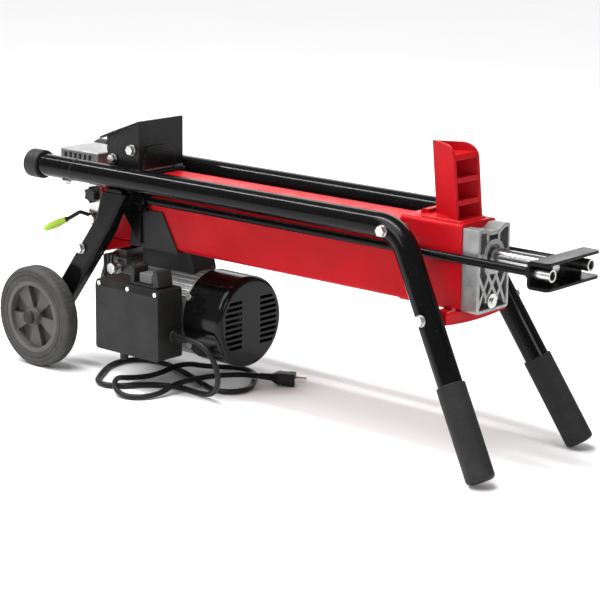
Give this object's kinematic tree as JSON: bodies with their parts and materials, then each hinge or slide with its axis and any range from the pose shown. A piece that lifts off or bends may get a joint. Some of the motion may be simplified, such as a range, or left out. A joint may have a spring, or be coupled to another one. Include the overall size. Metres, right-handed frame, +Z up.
{
  "type": "electric log splitter",
  "caption": "Horizontal electric log splitter: a red beam with a fixed wedge, a hydraulic ram that draws a pusher plate along it, guard rails, legs, wheels and a motor with its pump.",
  "frame": {"origin": "centre of the footprint on the floor, measured without the power cord and plug", "axes": "+X along the beam from the wheels to the ram yoke, +Z up; the switch box and control lever are on the -Y side"},
  "size_m": [1.01, 0.2915, 0.427],
  "materials": {
    "red_paint": "gloss",
    "red_casting": "gloss",
    "black_paint": "gloss",
    "dark_plate": "satin",
    "die_cast": "as cast",
    "pump_casting": "as cast, painted",
    "motor_silver": "satin",
    "zinc": "zinc plated",
    "steel": "machined",
    "chrome": "polished",
    "cast_iron": "machined",
    "black_rubber": "matte",
    "tyre": "matte",
    "black_plastic": "matte",
    "hub_plastic": "satin",
    "box_plastic": "satin",
    "gloss_cover": "gloss",
    "lime_vinyl": "satin",
    "grey_button": "satin",
    "brass": "machined"
  },
  "bodies": {
    "frame": {"axle": "zinc", "axle_caps": "black_plastic", "beam_housing": "red_paint", "cord_strain_relief": "black_plastic", "cylinder_tube": "steel", "end_cap": "die_cast", "fan_cover": "gloss_cover", "foot_grips": "black_rubber", "frame_bolts": "zinc", "front_cross_bracket": "red_paint", "guard_rail_far": "black_paint", "guard_rail_near": "black_paint", "lever_bracket": "zinc", "motor_bearings": "steel", "motor_housing": "motor_silver", "motor_saddle": "dark_plate", "oil_drain_plug": "zinc", "oil_fitting": "zinc", "plug_body": "black_rubber", "plug_prongs": "brass", "power_cord": "black_rubber", "pump_cover": "pump_casting", "pump_housing": "pump_casting", "rail_end_caps": "black_plastic", "rear_cross_bracket": "red_paint", "rear_leg_far": "black_paint", "rear_leg_near": "black_paint", "return_spring": "steel", "rod_bush": "cast_iron", "small_screws": "zinc", "stator": "cast_iron", "switch_box": "box_plastic", "switch_box_cover": "box_plastic", "switch_frame": "black_plastic", "valve_block": "die_cast", "wedge": "red_casting"},
    "ram": {"piston": "steel", "piston_seal": "black_rubber", "piston_rod": "chrome", "yoke": "black_paint", "yoke_sleeve_nuts": "zinc", "ram_nuts": "black_paint", "tie_rods": "black_paint", "pusher_slide": "black_paint", "pusher_plate": "black_paint", "pusher_bolts": "zinc"},
    "wheel_near": {"wheel_hub_near": "hub_plastic", "tyre_near": "tyre"},
    "wheel_far": {"wheel_hub_far": "hub_plastic", "tyre_far": "tyre"},
    "lever": {"control_lever": "black_paint", "lever_grip": "lime_vinyl"},
    "spool": {"valve_spool": "steel"},
    "bleed": {"bleed_screw": "black_plastic"},
    "motor_shaft": {"rotor": "steel", "cooling_fan": "black_plastic", "drive_gear": "steel"},
    "idler": {"driven_gear": "steel"},
    "start": {"start_button": "grey_button"},
    "reset": {"reset_button": "black_plastic"}
  },
  "joints": [
    {"name": "ram_slide", "type": "slide", "parent": "frame", "child": "ram", "axis": [1, 0, 0], "range_m": [0, 0.375], "stiffness_N_per_m": 150, "springref_m": -0.05, "deforming": ["return_spring"]},
    {"name": "wheel_near_spin", "type": "hinge", "parent": "frame", "child": "wheel_near", "pos_m": [-0.425, 0, 0.08], "axis": [0, 1, 0], "continuous": true},
    {"name": "wheel_far_spin", "type": "hinge", "parent": "frame", "child": "wheel_far", "pos_m": [-0.425, 0, 0.08], "axis": [0, 1, 0], "continuous": true},
    {"name": "lever_tilt", "type": "hinge", "parent": "frame", "child": "lever", "pos_m": [-0.356, -0.048, 0.237], "axis": [0, -1, 0], "range_deg": [0, 18], "stiffness_Nm_per_rad": 1, "springref_deg": -5.73},
    {"name": "spool_slide", "type": "slide", "parent": "frame", "child": "spool", "axis": [0, 0, -1], "range_m": [0, 0.0041]},
    {"name": "bleed_turn", "type": "hinge", "parent": "frame", "child": "bleed", "pos_m": [-0.364, 0, 0.274], "axis": [0, -1, 0], "range_deg": [0, 360]},
    {"name": "motor_spin", "type": "hinge", "parent": "frame", "child": "motor_shaft", "pos_m": [-0.2, 0, 0.1116], "axis": [1, 0, 0], "continuous": true},
    {"name": "idler_spin", "type": "hinge", "parent": "frame", "child": "idler", "pos_m": [-0.33, 0, 0.1404], "axis": [1, 0, 0], "continuous": true},
    {"name": "start_press", "type": "slide", "parent": "frame", "child": "start", "axis": [0, 0, -1], "range_m": [0, 0.004], "stiffness_N_per_m": 600, "springref_m": -0.001},
    {"name": "reset_press", "type": "slide", "parent": "frame", "child": "reset", "axis": [0, 0, 1], "range_m": [0, 0.004], "stiffness_N_per_m": 600, "springref_m": -0.001}
  ],
  "couplings": [
    {"joint": "spool_slide", "follows": "lever_tilt", "m_per_rad": 0.0127},
    {"joint": "idler_spin", "follows": "motor_spin", "ratio": -1}
  ]
}
